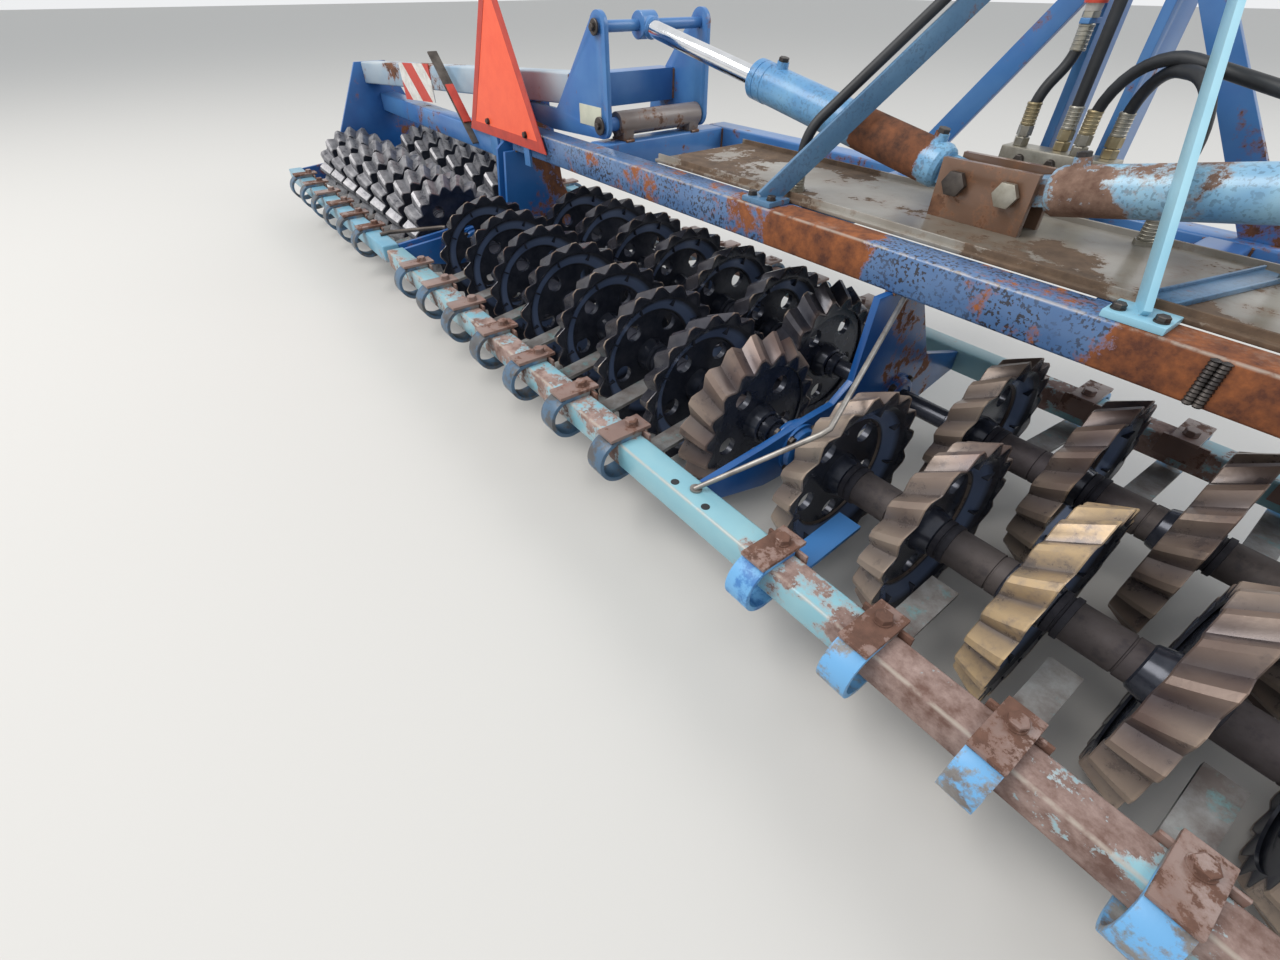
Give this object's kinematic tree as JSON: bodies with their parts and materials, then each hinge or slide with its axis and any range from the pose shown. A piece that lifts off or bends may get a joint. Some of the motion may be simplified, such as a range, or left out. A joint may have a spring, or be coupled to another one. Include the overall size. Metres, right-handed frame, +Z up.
{
  "type": "folding double-row ring press",
  "caption": "Folding ring press with two rows of toothed rings in three sections, spring scrapers behind each row, fold cylinders and a three-point headstock.",
  "frame": {"origin": "on the ground under the middle of the machine's box, with all rings standing on it", "axes": "+X across the machine to its right, +Y the way it is pulled, +Z up"},
  "size_m": [6.256, 1.3849, 1.275],
  "materials": {
    "blue_paint": "worn gloss",
    "pale_blue_paint": "faded gloss",
    "rusty_plate": "rusted matt",
    "spring_steel": "browned satin",
    "cast_iron": "dark satin",
    "fittings": "zinc plated, dull",
    "chrome_rod": "polished",
    "hose_rubber": "matt",
    "sign_red": "satin",
    "marker_board": "satin"
  },
  "bodies": {
    "frame": {"rear_beam": "blue_paint", "front_beam": "blue_paint", "cross_beams": "blue_paint", "deck_plates": "rusty_plate", "side_plates": "blue_paint", "headstock": "blue_paint", "mast_stays": "blue_paint", "cylinder_anchor": "rusty_plate", "hinge_tubes": "rusty_plate", "scraper_bars_middle": "rusty_plate", "scrapers_middle_rear": "spring_steel", "scrapers_middle_front": "spring_steel", "hose_block": "fittings", "hoses": "hose_rubber"},
    "wing_left": {"slow_triangle": "sign_red", "wing_beam_left": "pale_blue_paint", "wing_rear_beam_left": "blue_paint", "wing_plates_left": "blue_paint", "wing_lever_left": "blue_paint", "scraper_bars_left": "pale_blue_paint", "scrapers_left": "spring_steel", "marker_left": "marker_board"},
    "wing_right": {"wing_beam_right": "pale_blue_paint", "wing_rear_beam_right": "blue_paint", "wing_plates_right": "blue_paint", "wing_lever_right": "blue_paint", "scraper_bars_right": "pale_blue_paint", "scrapers_right": "spring_steel", "marker_right": "marker_board"},
    "rings_middle_left_rear": {"roller_middle_left_rear": "cast_iron"},
    "rings_middle_left_front": {"roller_middle_left_front": "cast_iron"},
    "rings_middle_right_rear": {"roller_middle_right_rear": "cast_iron"},
    "rings_middle_right_front": {"roller_middle_right_front": "cast_iron"},
    "rings_wing_left_rear": {"roller_wing_left_rear": "cast_iron"},
    "rings_wing_left_front": {"roller_wing_left_front": "cast_iron"},
    "rings_wing_right_rear": {"roller_wing_right_rear": "cast_iron"},
    "rings_wing_right_front": {"roller_wing_right_front": "cast_iron"},
    "barrel_left": {"cylinder_barrel_left": "pale_blue_paint"},
    "rod_left": {"cylinder_rod_left": "chrome_rod"},
    "barrel_right": {"cylinder_barrel_right": "pale_blue_paint"},
    "rod_right": {"cylinder_rod_right": "chrome_rod"}
  },
  "joints": [
    {"name": "wing_fold_left", "type": "hinge", "parent": "frame", "child": "wing_left", "pos_m": [-1.19, 0.1875, 0.612], "axis": [0, 1, 0], "range_deg": [-3, 90]},
    {"name": "barrel_tilt_left", "type": "hinge", "parent": "frame", "child": "barrel_left", "pos_m": [-0.055, 0.1875, 0.645], "axis": [0, 1, 0], "range_deg": [-13, 1]},
    {"name": "rod_slide_left", "type": "slide", "parent": "barrel_left", "child": "rod_left", "axis": [-0.9822, 0, 0.1879], "range_m": [-0.285, 0.012]},
    {"name": "wing_fold_right", "type": "hinge", "parent": "frame", "child": "wing_right", "pos_m": [1.19, 0.1875, 0.612], "axis": [0, -1, 0], "range_deg": [-3, 90]},
    {"name": "barrel_tilt_right", "type": "hinge", "parent": "frame", "child": "barrel_right", "pos_m": [0.055, 0.1875, 0.645], "axis": [0, -1, 0], "range_deg": [-13, 1]},
    {"name": "rod_slide_right", "type": "slide", "parent": "barrel_right", "child": "rod_right", "axis": [0.9822, 0, 0.1879], "range_m": [-0.285, 0.012]},
    {"name": "roll_middle_left_rear", "type": "hinge", "parent": "frame", "child": "rings_middle_left_rear", "pos_m": [-0.815, -0.3125, 0.19696], "axis": [1, 0, 0], "continuous": true},
    {"name": "roll_middle_left_front", "type": "hinge", "parent": "frame", "child": "rings_middle_left_front", "pos_m": [-0.815, 0.0375, 0.19696], "axis": [1, 0, 0], "continuous": true},
    {"name": "roll_middle_right_rear", "type": "hinge", "parent": "frame", "child": "rings_middle_right_rear", "pos_m": [0.815, -0.3125, 0.19696], "axis": [1, 0, 0], "continuous": true},
    {"name": "roll_middle_right_front", "type": "hinge", "parent": "frame", "child": "rings_middle_right_front", "pos_m": [0.815, 0.0375, 0.19696], "axis": [1, 0, 0], "continuous": true},
    {"name": "roll_wing_left_rear", "type": "hinge", "parent": "wing_left", "child": "rings_wing_left_rear", "pos_m": [-2.405, -0.3125, 0.19696], "axis": [1, 0, 0], "continuous": true},
    {"name": "roll_wing_left_front", "type": "hinge", "parent": "wing_left", "child": "rings_wing_left_front", "pos_m": [-2.405, 0.0375, 0.19696], "axis": [1, 0, 0], "continuous": true},
    {"name": "roll_wing_right_rear", "type": "hinge", "parent": "wing_right", "child": "rings_wing_right_rear", "pos_m": [2.405, -0.3125, 0.19696], "axis": [1, 0, 0], "continuous": true},
    {"name": "roll_wing_right_front", "type": "hinge", "parent": "wing_right", "child": "rings_wing_right_front", "pos_m": [2.405, 0.0375, 0.19696], "axis": [1, 0, 0], "continuous": true}
  ],
  "couplings": [
    {"joint": "barrel_tilt_left", "follows": "wing_fold_left", "ratio": -0.13689},
    {"joint": "rod_slide_left", "follows": "wing_fold_left", "m_per_rad": -0.17982},
    {"joint": "barrel_tilt_right", "follows": "wing_fold_right", "ratio": -0.13689},
    {"joint": "rod_slide_right", "follows": "wing_fold_right", "m_per_rad": -0.17982}
  ]
}
